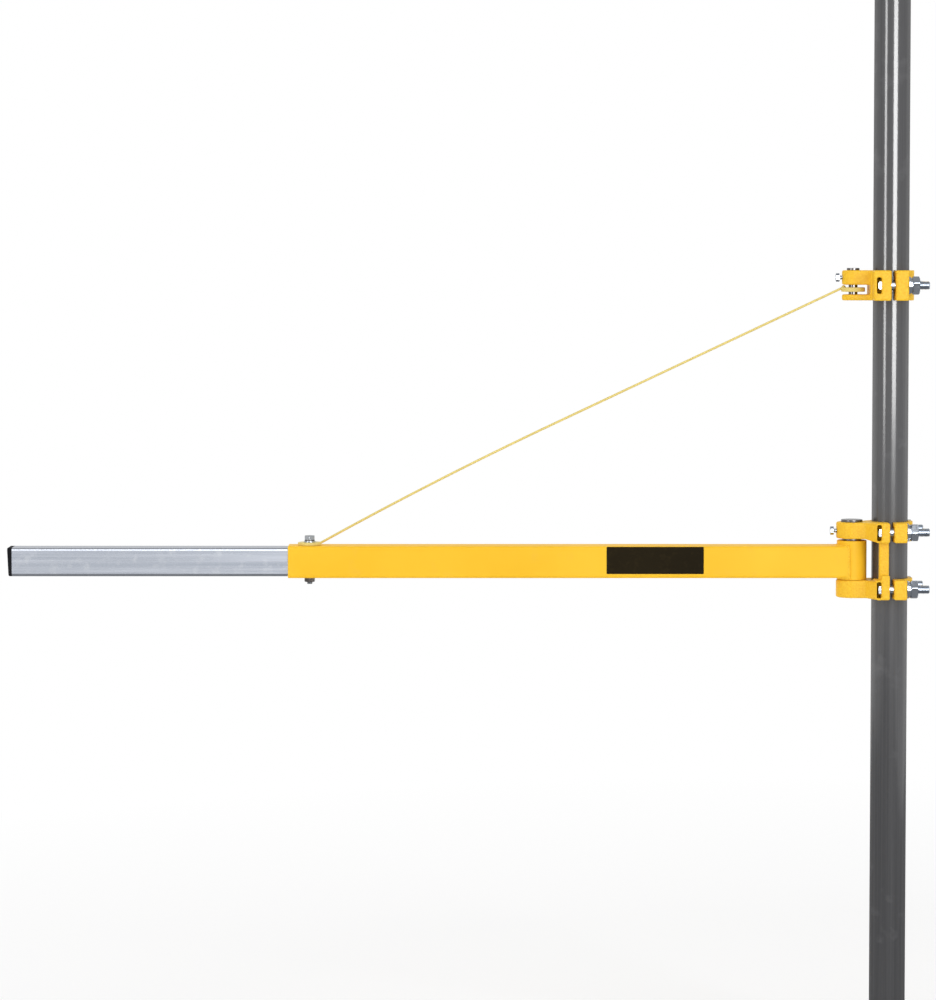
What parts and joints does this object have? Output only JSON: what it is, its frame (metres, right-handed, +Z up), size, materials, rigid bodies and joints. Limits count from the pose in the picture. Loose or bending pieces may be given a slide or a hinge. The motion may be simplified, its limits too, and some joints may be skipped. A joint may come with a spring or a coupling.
{
  "type": "hoist swing arm",
  "caption": "Square-tube swing arm with a sliding extension and a rod stay, pivoting in cast brackets clamped to a round mast pole, for hanging a light hoist.",
  "frame": {"origin": "centre of the pole's lower end face", "axes": "+Z up along the pole; at rest the arm reaches along -X; +Y points to the far side"},
  "size_m": [1.2363, 0.0913, 1.5],
  "materials": {
    "yellow_paint": "glossy enamel over steel tube and rough castings",
    "grey_paint": "dark grey semi-gloss coat on a drawn tube",
    "zinc_tube": "bright zinc plate with fine lengthwise drawing marks",
    "zinc_fastener": "zinc plate, slightly dulled",
    "black_plastic": "moulded, satin"
  },
  "bodies": {
    "mast": {"mast_pole": "grey_paint", "swivel_bracket": "yellow_paint", "stay_bracket": "yellow_paint", "swivel_upper_saddle": "yellow_paint", "swivel_lower_saddle": "yellow_paint", "stay_saddle": "yellow_paint", "swivel_upper_front_bolt": "zinc_fastener", "swivel_upper_front_washer": "zinc_fastener", "swivel_upper_front_lock_washer": "zinc_fastener", "swivel_upper_front_nut": "zinc_fastener", "swivel_upper_back_bolt": "zinc_fastener", "swivel_upper_back_washer": "zinc_fastener", "swivel_upper_back_lock_washer": "zinc_fastener", "swivel_upper_back_nut": "zinc_fastener", "swivel_lower_front_bolt": "zinc_fastener", "swivel_lower_front_washer": "zinc_fastener", "swivel_lower_front_lock_washer": "zinc_fastener", "swivel_lower_front_nut": "zinc_fastener", "swivel_lower_back_bolt": "zinc_fastener", "swivel_lower_back_washer": "zinc_fastener", "swivel_lower_back_lock_washer": "zinc_fastener", "swivel_lower_back_nut": "zinc_fastener", "stay_front_bolt": "zinc_fastener", "stay_front_washer": "zinc_fastener", "stay_front_lock_washer": "zinc_fastener", "stay_front_nut": "zinc_fastener", "stay_back_bolt": "zinc_fastener", "stay_back_washer": "zinc_fastener", "stay_back_lock_washer": "zinc_fastener", "stay_back_nut": "zinc_fastener", "pivot_pin": "zinc_fastener", "stay_pin": "zinc_fastener", "pivot_lock_screw": "zinc_fastener", "stay_lock_screw": "zinc_fastener", "thrust_washer": "zinc_fastener"},
    "arm": {"pivot_sleeve": "yellow_paint", "arm_tube": "yellow_paint", "extension_tube": "zinc_tube", "extension_plug": "black_plastic", "stay_rod": "yellow_paint", "arm_washer": "zinc_fastener", "arm_lock_washer": "zinc_fastener", "arm_bolt": "zinc_fastener", "arm_nut": "zinc_fastener"}
  },
  "joints": [
    {"name": "arm_swing", "type": "hinge", "parent": "mast", "child": "arm", "pos_m": [-0.051, 0, 0.67], "axis": [0, 0, 1], "range_deg": [-90, 90]}
  ]
}
